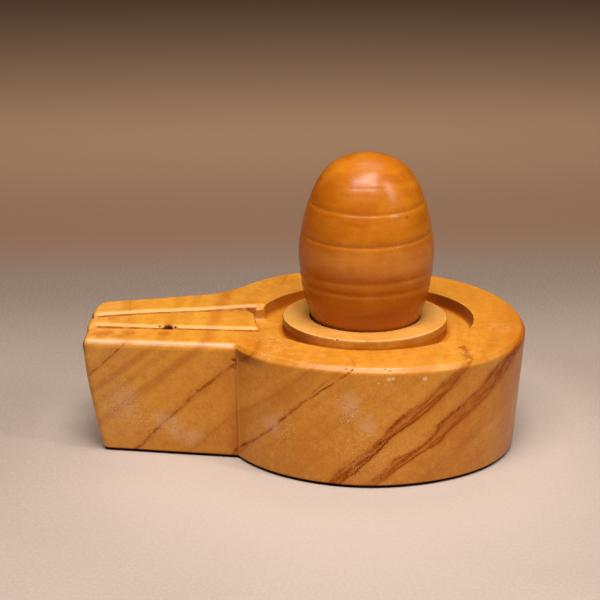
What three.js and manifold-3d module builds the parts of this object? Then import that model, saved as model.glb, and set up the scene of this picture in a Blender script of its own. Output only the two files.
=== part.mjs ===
// A shiva lingam stone: an egg-shaped lingam standing in the middle of a carved stone base (the yoni).
// The base is a short round drum with a broad, flat-ended spout. A ring-shaped channel round the
// central pedestal catches poured water, and two V-grooves lead it along the top of the spout.
//
// Millimetres, +Z up. The origin is on the resting plane, under the lingam's axis.
// The spout points along -X.
import * as THREE from 'three';
import { mergeVertices } from 'three/addons/utils/BufferGeometryUtils.js';
import Module from 'manifold-3d';

// ---- driving dimensions ----
const baseHeight = 27.6;
const chamferWidth = 1.0; // along the top and bottom edges of the base
const chamferHeight = 1.2;

// The drum was ground by hand, so its radius at the top is a sum of waves round its axis,
// each a cosine and a sine part, and so is how far the wall has come in at the foot.
const drumWaves = [
  [37.83, 0], [0.41, 0.63], [-0.83, -0.51], [-0.21, -0.08], [-0.24, 0.04],
  [0, 0.08], [0.04, -0.19], [-0.04, 0.13], [-0.03, -0.05],
];
const footInsetWaves = [
  [1.52, 0], [0.57, 0.6], [0.43, -0.16], [0.08, 0.12], [0.06, 0.23], [0.12, 0.05], [0.03, -0.14],
];
const wallBulge = 0.3; // share of the inset that grows with the square of the depth

// The spout's edges: y at the end, and the slope towards the drum.
const spoutFront = { y: -12.85, slope: -0.188 };
const spoutBack = { y: 15.8, slope: 0.173 };
const spoutEndX = -64.2; // the flat end, on the spout's centre line
const spoutEndSkew = 0.09; // the end is cut a few degrees off square
const spoutCentreY = 0.7;
const spoutRootSideLean = 0.03; // the sides lean in little at the drum and more at the end
const spoutEndSideLean = 0.105;
const spoutEndLean = 0.055;
const spoutEndBulge = 0.003; // times the square of the depth
const spoutRootX = -24; // the spout's body runs this far into the drum
const frontCornerRadius = 1.4;
const backCornerRadius = 3;
const filletRadius = 14; // where the spout's back edge runs into the drum
const filletOverlap = 0.5; // the fillet ends this far inside the drum's wall
const filletAngle = 145; // degrees, roughly where it does

const channelRadius = 25;
const channelCentre = new THREE.Vector2(0.25, -0.35);
const channelDepth = 3.7;
// Towards the spout the round wall is squared off to this outline; its last corner lies in the pedestal.
const channelMouth = [
  [-22.8, 9.2], [-24.6, 8.8], [-26.8, 9.5], [-27.5, 8], [-27.4, 5.8], [-26.9, 4.8], [-26.2, 3.9],
  [-25.9, 2.3], [-25.8, -1.2], [-25.7, -5.6], [-25.3, -9.9], [-23.9, -13.1], [-22.2, -14.6],
  [-20.5, -15.3], [-19, -16.4], [-14, 0],
];
const pedestalRadius = 19.25;

// The grooves run from beyond the spout's end into the channel.
// Each station is x, y of the front lip, y of the back lip, depth.
const backGroove = [
  [-68, 2.6, 6.6, 1.6], [-62.3, 3.1, 7.1, 1.5], [-50.2, 4.9, 8.7, 1.35], [-38.3, 5.4, 9.3, 1.4],
  [-31.3, 5.6, 10.3, 1.5], [-27, 5.7, 10.8, 1.8], [-24, 5.7, 10.8, 1.8],
];
const frontGroove = [
  [-68, -4, 0.8, 1.6], [-61.7, -4.8, -0.4, 1.5], [-50.1, -6.5, -2.8, 1.4], [-38.7, -8.2, -4.6, 1.4],
  [-26.3, -10.4, -6.6, 1.4], [-24, -10.4, -6.6, 1.4],
];
const grooveBottom = 0.27; // how far over from the front lip the deepest line lies

const lingamRadius = 15.65; // at its widest
const lingamHeight = 38.5; // above the pedestal
const lingamWidestHeight = 15.1;
const lingamLowerReach = 25.5; // half-height of the ellipse that the lower part follows
const lingamDomePower = 2.15; // 2 would be an ellipse; the dome is a little squarer
const ringHeights = [9.4, 11.9, 20.9, 28.0]; // lines turned into the lingam
const ringDepth = 0.3;
const ringHalfWidth = 0.6;

const socketDepth = 2.5;
const seatGap = 0.3;

// ---- tessellation ----
const drumSegments = 90;
const wallSteps = 3;
const channelSegments = 64;
const cornerSegments = 4;
const filletSegments = 10;
const lingamSegments = 56;
const domeSteps = 9;
const profileStep = 2.6; // along the lingam's profile below the dome

// ---- solids ----
const wasm = await Module();
wasm.setup();

function toSolid(geometry) {
  geometry.deleteAttribute('normal');
  geometry.deleteAttribute('uv');
  const merged = mergeVertices(geometry, 1e-4);
  const mesh = new wasm.Mesh({
    numProp: 3,
    vertProperties: new Float32Array(merged.attributes.position.array),
    triVerts: new Uint32Array(merged.index.array),
  });
  return new wasm.Manifold(mesh);
}

function toGeometry(solid) {
  const mesh = solid.getMesh();
  const geometry = new THREE.BufferGeometry();
  geometry.setAttribute('position', new THREE.BufferAttribute(mesh.vertProperties, 3));
  geometry.setIndex(new THREE.BufferAttribute(mesh.triVerts, 1));
  geometry.computeVertexNormals();
  return geometry;
}

// ---- plan outlines ----
function arc(centre, radius, fromAngle, toAngle, segments) {
  const clockwise = toAngle < fromAngle;
  const curve = new THREE.EllipseCurve(
    centre.x, centre.y, radius, radius, fromAngle, toAngle, clockwise,
  );
  return curve.getPoints(segments);
}

// A full circle, without the point that would close it twice.
function circle(centre, radius, segments) {
  return arc(centre, radius, 0, 2 * Math.PI, segments).slice(1);
}

function sumOfWaves(waves, angle) {
  return waves.reduce((sum, [c, s], k) => sum + c * Math.cos(k * angle) + s * Math.sin(k * angle), 0);
}

function roundedCorner(before, corner, after, radius) {
  const start = corner.clone().add(before.clone().sub(corner).setLength(radius));
  const end = corner.clone().add(after.clone().sub(corner).setLength(radius));
  return new THREE.QuadraticBezierCurve(start, corner, end).getPoints(cornerSegments);
}

function drumOutline() {
  const points = [];
  for (let i = 0; i < drumSegments; i += 1) {
    const angle = (2 * Math.PI * i) / drumSegments;
    const radius = sumOfWaves(drumWaves, angle);
    points.push(new THREE.Vector2(radius * Math.cos(angle), radius * Math.sin(angle)));
  }
  return new THREE.Shape(points);
}

function onEdge(edge, x) {
  return new THREE.Vector2(x, edge.y + edge.slope * (x - spoutEndX));
}

function spoutCorner(edge) {
  return onEdge(edge, spoutEndX + spoutEndSkew * (edge.y - spoutCentreY));
}

// The fillet's circle touches the spout's back edge and the drum from outside.
function filletPoints() {
  const along = new THREE.Vector2(1, spoutBack.slope).normalize();
  const outward = new THREE.Vector2(-along.y, along.x);
  const start = spoutCorner(spoutBack).addScaledVector(outward, filletRadius);
  const drumRadius = sumOfWaves(drumWaves, THREE.MathUtils.degToRad(filletAngle));
  const reach = drumRadius - filletOverlap + filletRadius;
  const towards = start.dot(along);
  const distance = -towards - Math.sqrt(towards ** 2 - start.lengthSq() + reach ** 2);
  const centre = start.addScaledVector(along, distance);
  const fromAngle = Math.atan2(-outward.y, -outward.x);
  const toAngle = Math.atan2(-centre.y, -centre.x);
  return arc(centre, filletRadius, fromAngle, toAngle, filletSegments);
}

function spoutOutline() {
  const frontRoot = onEdge(spoutFront, spoutRootX);
  const frontCorner = spoutCorner(spoutFront);
  const backCorner = spoutCorner(spoutBack);
  const fillet = filletPoints().reverse();
  const backRoot = new THREE.Vector2(spoutRootX / 2, fillet[0].y);
  return new THREE.Shape([
    frontRoot,
    backRoot,
    ...fillet,
    ...roundedCorner(fillet.at(-1), backCorner, frontCorner, backCornerRadius),
    ...roundedCorner(backCorner, frontCorner, frontRoot, frontCornerRadius),
  ]);
}

// ---- bodies of the base ----
function chamferedSlab(outline) {
  return new THREE.ExtrudeGeometry(outline, {
    depth: baseHeight - 2 * chamferHeight,
    steps: wallSteps,
    bevelThickness: chamferHeight,
    bevelSize: chamferWidth,
    bevelOffset: -chamferWidth,
    bevelSegments: 1,
  }).translate(0, 0, chamferHeight);
}

// Moves each point of a slab to where lean(x, y, depth) says, depth being measured from the top.
function leanWalls(geometry, lean) {
  const position = geometry.attributes.position;
  for (let i = 0; i < position.count; i += 1) {
    const depth = baseHeight - position.getZ(i);
    const [x, y] = lean(position.getX(i), position.getY(i), depth);
    position.setXY(i, x, y);
  }
  return geometry;
}

function drum() {
  return leanWalls(chamferedSlab(drumOutline()), (x, y, depth) => {
    const down = depth / baseHeight;
    const share = THREE.MathUtils.lerp(down, down ** 2, wallBulge);
    const inset = share * sumOfWaves(footInsetWaves, Math.atan2(y, x));
    const scale = 1 - inset / Math.hypot(x, y);
    return [x * scale, y * scale];
  });
}

function spout() {
  return leanWalls(chamferedSlab(spoutOutline()), (x, y, depth) => {
    const nearEnd = (x - spoutRootX) / (spoutEndX - spoutRootX);
    const side = Math.sign(y - spoutCentreY);
    const sideLean = THREE.MathUtils.lerp(spoutRootSideLean, spoutEndSideLean, nearEnd);
    const endInset = spoutEndLean * depth + spoutEndBulge * depth ** 2;
    return [x + endInset * nearEnd, y - side * sideLean * depth];
  });
}

// ---- what is cut out of it ----
function prism(points) {
  const options = { depth: 2 * channelDepth, bevelEnabled: false };
  const geometry = new THREE.ExtrudeGeometry(new THREE.Shape(points), options);
  return toSolid(geometry.translate(0, 0, baseHeight - channelDepth));
}

function channel() {
  const ring = prism(circle(channelCentre, channelRadius, channelSegments));
  const mouth = prism(channelMouth.map(([x, y]) => new THREE.Vector2(x, y)));
  const pedestal = prism(circle(new THREE.Vector2(), pedestalRadius, channelSegments));
  return ring.add(mouth).subtract(pedestal);
}

// A V-shaped cutter whose walls run on as far above the top face as they cut into it.
function groove(stations) {
  const points = stations.flatMap(([x, front, back, depth]) => {
    const bottom = THREE.MathUtils.lerp(front, back, grooveBottom);
    return [
      x, bottom, baseHeight - depth,
      x, 2 * back - bottom, baseHeight + depth,
      x, 2 * front - bottom, baseHeight + depth,
    ];
  });
  const last = 3 * (stations.length - 1);
  const faces = [0, 2, 1, last, last + 1, last + 2];
  for (let near = 0; near < last; near += 3) {
    for (const [i, j] of [[0, 1], [1, 2], [2, 0]]) {
      faces.push(near + i, near + j, near + 3 + j, near + i, near + 3 + j, near + 3 + i);
    }
  }
  return new wasm.Manifold(new wasm.Mesh({
    numProp: 3,
    vertProperties: new Float32Array(points),
    triVerts: new Uint32Array(faces),
  }));
}

// ---- the lingam's profile: radius at a height above the pedestal ----
function lingamRadiusAt(height) {
  const up = height - lingamWidestHeight;
  if (up < 0) return lingamRadius * Math.sqrt(1 - (up / lingamLowerReach) ** 2);
  const dome = (up / (lingamHeight - lingamWidestHeight)) ** lingamDomePower;
  return lingamRadius * Math.max(0, 1 - dome) ** (1 / lingamDomePower);
}

const lingamFoot = seatGap - socketDepth; // height of its flat spot, below the pedestal's top
const socketRadius = lingamRadiusAt(0) + seatGap;

function socket() {
  const height = 2 * socketDepth;
  const cylinder = new THREE.CylinderGeometry(socketRadius, socketRadius, height, channelSegments);
  return toSolid(cylinder.rotateX(Math.PI / 2).translate(0, 0, baseHeight));
}

function makeBase() {
  const stone = toSolid(drum()).add(toSolid(spout()));
  return [channel(), socket(), groove(backGroove), groove(frontGroove)]
    .reduce((solid, cutter) => solid.subtract(cutter), stone);
}

function lingamProfile() {
  const profile = [new THREE.Vector2(0, lingamFoot)];
  let from = lingamFoot;
  for (const ring of ringHeights) {
    const to = ring - ringHalfWidth;
    const steps = Math.max(1, Math.round((to - from) / profileStep));
    for (let i = 0; i <= steps; i += 1) {
      const height = from + ((to - from) * i) / steps;
      profile.push(new THREE.Vector2(lingamRadiusAt(height), height));
    }
    profile.push(new THREE.Vector2(lingamRadiusAt(ring) - ringDepth, ring));
    from = ring + ringHalfWidth;
  }
  // The dome: steps that close up towards the pole.
  for (let i = 0; i <= domeSteps; i += 1) {
    const rise = Math.sin((Math.PI / 2) * (i / domeSteps));
    const height = from + (lingamHeight - from) * rise;
    profile.push(new THREE.Vector2(i < domeSteps ? lingamRadiusAt(height) : 0, height));
  }
  return profile;
}

// ---- the assembly ----
const assembly = new THREE.Group();

const base = new THREE.Mesh(
  toGeometry(makeBase()),
  new THREE.MeshStandardMaterial({ color: 0xe89c45, roughness: 0.42, metalness: 0 }),
);
base.name = 'yoni_base';
assembly.add(base);

const lingam = new THREE.Mesh(
  new THREE.LatheGeometry(lingamProfile(), lingamSegments).rotateX(Math.PI / 2),
  new THREE.MeshStandardMaterial({ color: 0xb5601f, roughness: 0.35, metalness: 0 }),
);
lingam.name = 'lingam';
lingam.position.z = baseHeight;
assembly.add(lingam);

export default assembly;
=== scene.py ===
"""A shiva lingam stone: an egg-shaped lingam standing in a carved stone base with a broad drain spout.

Shapes are worked out in millimetres in the CAD's frame (+Z up, the spout along -X) and made in metres.
The base is described as a distance field, positive outside the stone, and meshed from it, so that its
edges and its hand-ground faces can be as soft and as uneven as stone is. The lingam is turned.
"""
import math

import bpy
import numpy as np
from mathutils import Matrix


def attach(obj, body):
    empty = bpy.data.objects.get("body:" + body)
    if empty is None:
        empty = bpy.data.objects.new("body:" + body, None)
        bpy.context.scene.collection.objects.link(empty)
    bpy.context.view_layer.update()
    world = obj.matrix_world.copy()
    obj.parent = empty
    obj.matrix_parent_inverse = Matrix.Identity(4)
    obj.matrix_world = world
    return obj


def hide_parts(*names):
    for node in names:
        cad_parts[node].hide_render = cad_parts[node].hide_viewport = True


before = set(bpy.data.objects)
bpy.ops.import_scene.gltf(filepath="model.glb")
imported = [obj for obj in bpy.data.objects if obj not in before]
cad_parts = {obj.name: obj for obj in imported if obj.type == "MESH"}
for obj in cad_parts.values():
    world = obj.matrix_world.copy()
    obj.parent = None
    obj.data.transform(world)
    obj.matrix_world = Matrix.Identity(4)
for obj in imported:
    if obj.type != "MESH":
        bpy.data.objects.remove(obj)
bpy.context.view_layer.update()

MM = 0.001

# ---- the base's dimensions ----
TOP = 27.6
CHAMFER_WIDTH, CHAMFER_HEIGHT = 1.0, 1.2
CHAMFER_NORMAL_Z = 0.64  # how far its normal points up
FOOT_RADIUS = 1.0  # of the rounding along the bottom edge
EDGE_SOFTNESS = 0.2  # how far the sharper edges are rubbed down
SPOUT_EDGE_SOFTNESS = 0.35  # and how much further the chamfer's along the spout

# The drum was ground by hand, so its radius at the top is a sum of waves round its axis,
# each a (cosine, sine) part, and so is how far the wall has come in at the foot.
DRUM_WAVES = [(37.83, 0), (0.41, 0.63), (-0.83, -0.51), (-0.21, -0.08), (-0.24, 0.04),
              (0, 0.08), (0.04, -0.19), (-0.04, 0.13), (-0.03, -0.05)]
FOOT_INSET_WAVES = [(1.52, 0), (0.57, 0.60), (0.43, -0.16), (0.08, 0.12), (0.06, 0.23), (0.12, 0.05),
                    (0.03, -0.14)]
WALL_BULGE = 0.3  # share of the inset that grows with the square of the depth

SPOUT_FRONT_Y, SPOUT_FRONT_SLOPE = -12.85, -0.188  # the edge's y at the end, and its slope towards the drum
SPOUT_BACK_Y, SPOUT_BACK_SLOPE = 15.8, 0.173
SPOUT_END_X = -64.2
SPOUT_END_SKEW = 0.09  # how far the end moves along +X for each millimetre along Y
SPOUT_CENTRE_Y = 0.7
# How far the end stands out at the top of each strip between the grooves, as (y, how far).
SPOUT_END_SWELLING = [
    (-2.4, 0), (-0.6, 0.4), (3.0, 0.45), (4.6, 0), (6.2, 0), (7.8, 0.5), (10.5, 0.5), (14.0, 0),
]
SPOUT_ROOT_X = -24.0
SPOUT_INNER_END_X = -12.0  # deep inside the drum
SPOUT_ROOT_SIDE_LEAN = 0.03  # how far the sides come in for each millimetre down
SPOUT_END_SIDE_LEAN = 0.105
SPOUT_END_LEAN = 0.055
SPOUT_END_BULGE = 0.003  # times the square of the depth
FRONT_CORNER_RADIUS = 1.4
BACK_CORNER_RADIUS = 3.0
FRONT_CREASE = 0.25  # the inner corner between spout and drum is sharp in front
BACK_FILLET = 3.5  # and sweeps round behind

CHANNEL_RADIUS = 25.0
CHANNEL_CENTRE = (0.25, -0.35)
CHANNEL_DEPTH = 3.7
CHANNEL_COVE = 1.1
PEDESTAL_RADIUS = 19.25
PEDESTAL_SOFTNESS = 0.25
CHANNEL_FLOOR = TOP - CHANNEL_DEPTH
# Towards the spout the round wall is squared off to this outline; the last point lies in the ring.
CHANNEL_MOUTH = [
    (-22.8, 9.2), (-24.6, 8.8), (-26.8, 9.5), (-27.5, 8.0), (-27.4, 5.8), (-26.9, 4.8), (-26.2, 3.9),
    (-25.9, 2.3), (-25.8, -1.2), (-25.7, -5.6), (-25.3, -9.9), (-23.9, -13.1), (-22.2, -14.6),
    (-20.5, -15.3), (-19.0, -16.4), (-14.0, 0.0),
]

# Each groove as (x, y of its front lip, y of its back lip, depth) from the spout's end to the channel.
BACK_GROOVE = [(-68, 2.6, 6.6, 1.6), (-62.3, 3.1, 7.1, 1.5), (-50.2, 4.9, 8.7, 1.35), (-38.3, 5.4, 9.3, 1.4),
               (-31.3, 5.6, 10.3, 1.5), (-27.0, 5.7, 10.8, 1.8)]
FRONT_GROOVE = [(-68, -4.0, 0.8, 1.6), (-61.7, -4.8, -0.4, 1.5), (-50.1, -6.5, -2.8, 1.4),
                (-38.7, -8.2, -4.6, 1.4), (-26.3, -10.4, -6.6, 1.4)]
GROOVE_BOTTOM = 0.27  # where its deepest line lies, as a share of the way from the front lip to the back
GROOVE_BOTTOM_RADIUS = 0.15
GROOVE_STOP_X = -23.0
GROOVE_END_SOFTNESS = 0.5  # how far its edges are rubbed down at the spout's end

SOCKET_RADIUS = 12.9
SOCKET_DEPTH = 2.5

# How far the hand-ground faces wander, and over what size.
WALL_UNEVENNESS, WALL_WAVE = 0.07, 6.5
TOP_UNEVENNESS, TOP_WAVE = 0.04, 7.5

# The masks that the material reads.
FRONT_SIDE_Y = -5  # the crease between spout and drum in front lies on this side of it
GROOVE_MASK_DEPTH = 2.5

# Small chips: centre and radius.
CHIPS = [
    ((-46.0, -4.6, 26.9), 0.8), ((-47.8, -3.8, 27.4), 0.3), ((-44.3, -4.6, 27.2), 0.3),
    ((-27.4, -7.6, 27.1), 0.35), ((-8.7, -17.1, 27.7), 0.45),
    ((-31.6, -18.9, 23.7), 0.45),
]

# ---- the lingam's dimensions ----
LINGAM_FOOT = -2.2  # below the pedestal's top
LINGAM_HEIGHT = 38.5
LINGAM_AXIS = (0.12, 0.0)
LINGAM_PROFILE = [  # height above the pedestal, radius
    (-2.2, 11.6), (0, 12.6), (1.7, 13.25), (3.4, 13.83), (5.0, 14.29), (6.7, 14.69), (8.4, 15.03),
    (10.1, 15.30), (11.7, 15.49), (13.4, 15.61), (15.1, 15.64), (16.7, 15.60), (18.4, 15.48),
    (20.1, 15.29), (21.8, 15.01), (23.4, 14.66), (25.1, 14.23), (26.8, 13.73), (28.5, 13.14),
    (30.1, 12.45), (31.8, 11.62), (33.5, 10.62), (35.2, 9.25), (36.8, 7.04), (38.5, 0),
]
# Lines turned into the lingam: height on the axis, slope along x and y, depth, reach upwards and downwards.
RINGS = [
    (9.4, 0.015, 0.032, 0.16, 1.3, 0.8), (11.9, 0.027, 0.006, 0.18, 1.5, 0.8),
    (20.95, 0.032, 0.052, 0.21, 0.9, 0.45), (28.0, 0.015, 0.062, 0.20, 0.8, 0.45),
    (32.8, 0.010, 0.008, 0.05, 0.9, 0.5),
]
RING_STEEPNESS = 1.8
FOOT_ROUNDING = 0.5

# ---- mesh fineness ----
BASE_PITCH = 0.455
BASE_GRID_X, BASE_GRID_Y = (-67.05, 39.2), (-39.85, 41.2)
# The levels lie closer together where the grooves, the channel and the bottom edge are.
BASE_LEVELS = [(-0.6, 1.4, 0.4), (1.4, 21.0, 0.9), (21.0, 28.3, 0.36)]  # from, to, pitch
# How the meshed points are moved onto the base's surface.
MOVES, LONGEST_MOVE, LEAST_SLOPE = 3, 0.3, 0.5
ON_RESTING_PLANE = 0.02  # a point as near to it as this is put on it
LINGAM_ROW = 0.24
LINGAM_COLUMNS = 240


# ---- distance-field tools ----
def soft_max(a, b, softness):
    """The larger of two distances, with the edge between them rubbed down."""
    share = np.clip(0.5 + 0.5 * (a - b) / softness, 0, 1)
    return b + (a - b) * share + softness * share * (1 - share)


def round_max(a, b, radius):
    """The larger of two distances, with a round edge between them."""
    outside = np.hypot(np.maximum(a + radius, 0), np.maximum(b + radius, 0))
    return np.minimum(np.maximum(a, b) + radius, 0) + outside - radius


def round_min(a, b, radius):
    """The smaller of two distances, with a round hollow between them."""
    inside = np.hypot(np.maximum(radius - a, 0), np.maximum(radius - b, 0))
    return np.maximum(np.minimum(a, b), radius) - inside


def smooth_step(value, low, high):
    """0 at the low value, 1 at the high one, and smooth between."""
    share = np.clip((value - low) / (high - low), 0, 1)
    return share * share * (3 - 2 * share)


def polygon_distance(x, y, corners):
    """Distance to a closed outline, negative inside it."""
    nearest = np.full(np.broadcast(x, y).shape, np.inf)
    inside = np.zeros(nearest.shape, bool)
    for (ax, ay), (bx, by) in zip(corners, corners[1:] + corners[:1]):
        ex, ey = bx - ax, by - ay
        along = np.clip(((x - ax) * ex + (y - ay) * ey) / (ex * ex + ey * ey), 0, 1)
        nearest = np.minimum(nearest, np.hypot(x - ax - along * ex, y - ay - along * ey))
        if ey != 0:
            crosses = ((ay > y) != (by > y)) & (x < ax + (y - ay) * ex / ey)
            inside ^= crosses
    return np.where(inside, -nearest, nearest)


def unevenness(x, y, z, scale):
    """A slow wave in all directions, about -1 to 1."""
    x, y, z = x / scale, y / scale, z / scale
    first = np.sin(1.1 * x + 0.7 * y + 0.4) * np.cos(0.8 * y - 1.2 * z + 1.9)
    second = np.sin(1.9 * z + 0.9 * x - 0.5 * y + 2.3) * np.cos(1.7 * x - 0.6 * z + 0.8)
    return 0.6 * first + 0.4 * second


# ---- the base ----
def sum_of_waves(waves, angle):
    return sum(c * np.cos(k * angle) + s * np.sin(k * angle) for k, (c, s) in enumerate(waves))


def drum_wall(x, y, depth):
    """Distance to the drum's wall."""
    angle = np.arctan2(y, x)
    down = depth / TOP
    inset = sum_of_waves(FOOT_INSET_WAVES, angle) * (down + WALL_BULGE * (down**2 - down))
    return np.hypot(x, y) - sum_of_waves(DRUM_WAVES, angle) + inset


def spout_wall(x, y, depth):
    """Distance to the spout's sides and end."""
    from_end = x - SPOUT_END_X
    near_end = 1 - from_end / (SPOUT_ROOT_X - SPOUT_END_X)
    side_lean = SPOUT_ROOT_SIDE_LEAN + (SPOUT_END_SIDE_LEAN - SPOUT_ROOT_SIDE_LEAN) * near_end
    front = SPOUT_FRONT_Y + SPOUT_FRONT_SLOPE * from_end + side_lean * depth - y
    back = y - SPOUT_BACK_Y - SPOUT_BACK_SLOPE * from_end + side_lean * depth
    front *= math.cos(math.atan(SPOUT_FRONT_SLOPE))
    back *= math.cos(math.atan(SPOUT_BACK_SLOPE))
    leaning = SPOUT_END_LEAN * depth + SPOUT_END_BULGE * depth**2
    end = leaning - from_end + SPOUT_END_SKEW * (y - SPOUT_CENTRE_Y)
    end -= np.interp(y, *np.array(SPOUT_END_SWELLING).T) * (1 - smooth_step(depth, 3, 12))
    spout = round_max(round_max(end, front, FRONT_CORNER_RADIUS), back, BACK_CORNER_RADIUS)
    return np.maximum(spout, x - SPOUT_INNER_END_X)


def outer_wall(x, y, depth):
    hollow = FRONT_CREASE + (BACK_FILLET - FRONT_CREASE) * smooth_step(y, -4, 8)
    return round_min(drum_wall(x, y, depth), spout_wall(x, y, depth), hollow)


def channel_cut(x, y, z):
    """The ring channel round the pedestal, negative in its hollow, and so is each cut below."""
    ring = np.hypot(x - CHANNEL_CENTRE[0], y - CHANNEL_CENTRE[1]) - CHANNEL_RADIUS
    outer = np.minimum(ring, polygon_distance(x, y, CHANNEL_MOUTH))
    cut = round_max(outer, CHANNEL_FLOOR - z, CHANNEL_COVE)
    return soft_max(cut, PEDESTAL_RADIUS - np.hypot(x, y), PEDESTAL_SOFTNESS)


def groove_cut(x, y, z, stations):
    along, front, back, depth = np.array(stations, float).T
    front, back, depth = (np.interp(x, along, column) for column in (front, back, depth))
    bottom = front + (back - front) * GROOVE_BOTTOM
    walls = []
    for lip in (front, back):
        slope = depth / (lip - bottom)
        walls.append((TOP - depth + slope * (y - bottom) - z) / np.sqrt(1 + slope**2))
    return np.maximum(round_max(*walls, GROOVE_BOTTOM_RADIUS), x - GROOVE_STOP_X)


def base_distance(x, y, z):
    """The whole base: the walls and the top, chamfered, less the channel, grooves, socket and chips."""
    wall = outer_wall(x, y, TOP - z) + WALL_UNEVENNESS * unevenness(x, y, z, WALL_WAVE)
    top = z - TOP + TOP_UNEVENNESS * unevenness(x, y, z, TOP_WAVE)
    chamfer = wall / CHAMFER_WIDTH + top / CHAMFER_HEIGHT + 1
    chamfer *= CHAMFER_WIDTH * CHAMFER_HEIGHT / math.hypot(CHAMFER_WIDTH, CHAMFER_HEIGHT)
    along_spout = smooth_step(-x, 30, 34)
    stone = soft_max(np.maximum(wall, top), chamfer, EDGE_SOFTNESS + SPOUT_EDGE_SOFTNESS * along_spout)
    stone = round_max(stone, -z, FOOT_RADIUS)
    socket = np.maximum(np.hypot(x, y) - SOCKET_RADIUS, TOP - SOCKET_DEPTH - z)
    near_end = smooth_step(x - SPOUT_END_X, 4.5, 1.0)
    groove_softness = EDGE_SOFTNESS + (GROOVE_END_SOFTNESS - EDGE_SOFTNESS) * near_end
    for cut, softness in (
        (channel_cut(x, y, z), EDGE_SOFTNESS),
        (groove_cut(x, y, z, BACK_GROOVE), groove_softness),
        (groove_cut(x, y, z, FRONT_GROOVE), groove_softness),
        (socket, EDGE_SOFTNESS),
    ):
        stone = soft_max(stone, -cut, softness)
    for (cx, cy, cz), radius in CHIPS:
        hole = np.sqrt((x - cx) ** 2 + (y - cy) ** 2 + (z - cz) ** 2) - radius
        stone = soft_max(stone, -hole, EDGE_SOFTNESS)
    return stone


def in_groove(x, y, z):
    """1 between a groove's lips, fading out at the spout's end, and 0 lower down."""
    inside = np.zeros(x.shape, bool)
    for stations in (BACK_GROOVE, FRONT_GROOVE):
        along, front, back, _ = np.array(stations, float).T
        inside |= (y > np.interp(x, along, front)) & (y < np.interp(x, along, back)) & (x < GROOVE_STOP_X - 2)
    return inside * (z > TOP - GROOVE_MASK_DEPTH) * smooth_step(x, -64.0, -61.5)


def crease_shade_mask(x, y, z):
    """1 in the inner corner between spout and drum in front, and some on the spout beside its lower part:
    where shade is painted.
    """
    depth = TOP - z
    from_drum, from_spout = np.abs(drum_wall(x, y, depth)), np.abs(spout_wall(x, y, depth))
    line = 1 - smooth_step(np.maximum(from_drum, from_spout), 0.08, 0.4)
    shade = (1 - smooth_step(from_drum, 0.3, 2.6)) * (from_spout < 0.4) * smooth_step(depth, 8, 16)
    return (y < FRONT_SIDE_Y) * (depth > 1.0) * np.maximum(line, 0.55 * shade)


def crease_edge_highlight(x, y, z):
    """The drum's narrow edge beside the crease, which takes the light: the mask for a painted highlight
    there.
    """
    depth = TOP - z
    beside = spout_wall(x, y, depth)
    narrow = smooth_step(beside, 0.25, 0.45) * (1 - smooth_step(beside, 0.6, 0.95))
    on_drum = 1 - smooth_step(np.abs(drum_wall(x, y, depth)), 0.2, 0.4)
    return (y < FRONT_SIDE_Y) * (depth > 1.5) * narrow * on_drum


def surface_net(field, axes):
    """The zero level of a field sampled on a grid, as points and quads facing outwards."""
    inside = field < 0
    nx, ny, nz = (count - 1 for count in field.shape)
    corners = sum(
        inside[i : i + nx, j : j + ny, k : k + nz].astype(np.int8)
        for i in (0, 1) for j in (0, 1) for k in (0, 1)
    )
    cells = (corners > 0) & (corners < 8)
    number = np.full(cells.shape, -1)
    number[cells] = np.arange(cells.sum())
    sums, hits, quads = np.zeros((cells.sum(), 3)), np.zeros(cells.sum()), []
    for axis in range(3):
        low = np.take(field, range(field.shape[axis] - 1), axis)
        high = np.take(field, range(1, field.shape[axis]), axis)
        start = np.argwhere((low < 0) != (high < 0))
        a, b = low[tuple(start.T)], high[tuple(start.T)]
        point = np.stack([axes[n][start[:, n]] for n in range(3)], 1)
        step = axes[axis][start[:, axis] + 1] - axes[axis][start[:, axis]]
        point[:, axis] += step * a / (a - b)
        around = []
        for du, dv in ((0, 0), (-1, 0), (-1, -1), (0, -1)):
            offset = np.zeros(3, int)
            offset[(axis + 1) % 3], offset[(axis + 2) % 3] = du, dv
            cell = number[tuple((start + offset).T)]
            around.append(cell)
            hits += np.bincount(cell, minlength=len(hits))
            for n in range(3):
                sums[:, n] += np.bincount(cell, point[:, n], len(hits))
        quad = np.stack(around, 1)
        quad[a >= 0] = quad[a >= 0, ::-1]
        quads.append(quad)
    return sums / hits[:, None], np.concatenate(quads)


def gradient(points, step=0.02):
    """Which way the base's distance grows at each point, and how fast."""
    columns = []
    for n in range(3):
        ahead, behind = points.copy(), points.copy()
        ahead[:, n] += step
        behind[:, n] -= step
        columns.append((base_distance(*ahead.T) - base_distance(*behind.T)) / (2 * step))
    return np.stack(columns, 1)


def grid_lines(*stretches):
    """Grid lines over several stretches (from, to, pitch), laid end to end."""
    lines = [np.linspace(a, b, round((b - a) / pitch) + 1)[:-1] for a, b, pitch in stretches]
    return np.concatenate([*lines, [stretches[-1][1]]])


def mesh_object(name, points, faces, normals=None):
    mesh = bpy.data.meshes.new(name)
    mesh.from_pydata((points * MM).tolist(), [], [list(map(int, f)) for f in faces])
    mesh.polygons.foreach_set("use_smooth", [True] * len(mesh.polygons))
    mesh.update()
    if normals is not None:
        mesh.normals_split_custom_set_from_vertices(normals.tolist())
    thing = bpy.data.objects.new(name, mesh)
    bpy.context.scene.collection.objects.link(thing)
    return thing


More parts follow.
